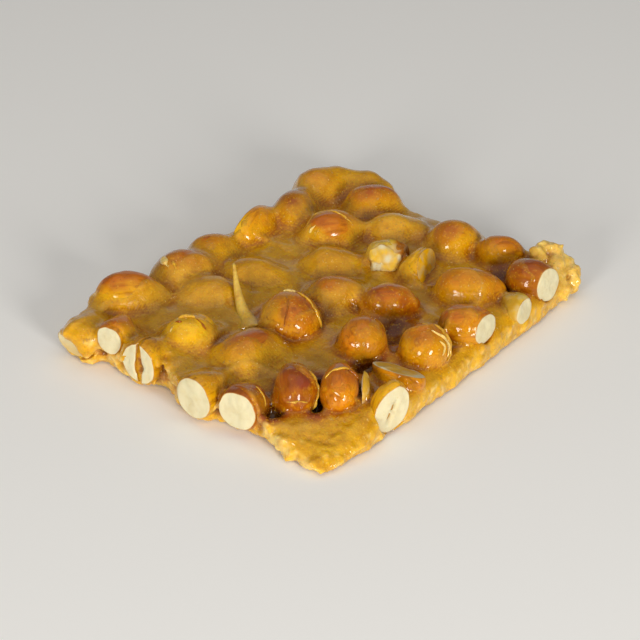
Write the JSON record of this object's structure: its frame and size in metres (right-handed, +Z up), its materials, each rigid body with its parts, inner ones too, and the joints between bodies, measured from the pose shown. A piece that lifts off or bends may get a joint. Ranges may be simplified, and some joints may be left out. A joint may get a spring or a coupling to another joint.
{
  "type": "peanut brittle piece",
  "caption": "Rough-edged slab of set golden toffee with roasted peanut kernels standing out of its top and snapped through along two edges.",
  "frame": {"origin": "middle of the bounding box on the flat bottom", "axes": "+Z up out of the slab, +X along the longer side of the slab, away from the snapped end where the kernels show their sections, +Y away from the other snapped side"},
  "size_m": [0.1, 0.0811, 0.0135],
  "materials": {
    "toffee": "glossy set sugar",
    "nut_skin": "roasted skin under clear toffee",
    "nut_flesh": "dry snapped nut"
  },
  "bodies": {
    "root": {"nut_cut_corner": "nut_flesh", "nut_cut_far": "nut_flesh", "nut_cut_pale": "nut_flesh", "nut_cut_right": "nut_flesh", "nut_cut_slim": "nut_flesh", "nut_cut_small": "nut_flesh", "nut_cut_split_a": "nut_flesh", "nut_cut_split_b": "nut_flesh", "nut_cut_stout": "nut_flesh", "nut_cut_upright": "nut_flesh", "nut_half_back": "nut_flesh", "nut_half_broken": "nut_flesh", "nut_half_edge": "nut_flesh", "nut_half_fin": "nut_flesh", "nut_half_thin": "nut_flesh", "nut_half_wide": "nut_flesh", "nut_whole_back_brown": "nut_skin", "nut_whole_back_edge": "nut_skin", "nut_whole_back_mid": "nut_skin", "nut_whole_back_red": "nut_skin", "nut_whole_back_tip": "nut_skin", "nut_whole_big_left": "nut_skin", "nut_whole_flat_mid": "nut_skin", "nut_whole_front_a": "nut_skin", "nut_whole_front_b": "nut_skin", "nut_whole_glossy": "nut_skin", "nut_whole_left": "nut_skin", "nut_whole_left_back": "nut_skin", "nut_whole_long": "nut_skin", "nut_whole_low_a": "nut_skin", "nut_whole_low_b": "nut_skin", "nut_whole_middle": "nut_skin", "nut_whole_peeling": "nut_skin", "nut_whole_right": "nut_skin", "nut_whole_right_low": "nut_skin", "nut_whole_right_small": "nut_skin", "nut_whole_round": "nut_skin", "nut_whole_sunk": "nut_skin", "toffee_slab": "toffee"}
  },
  "joints": []
}
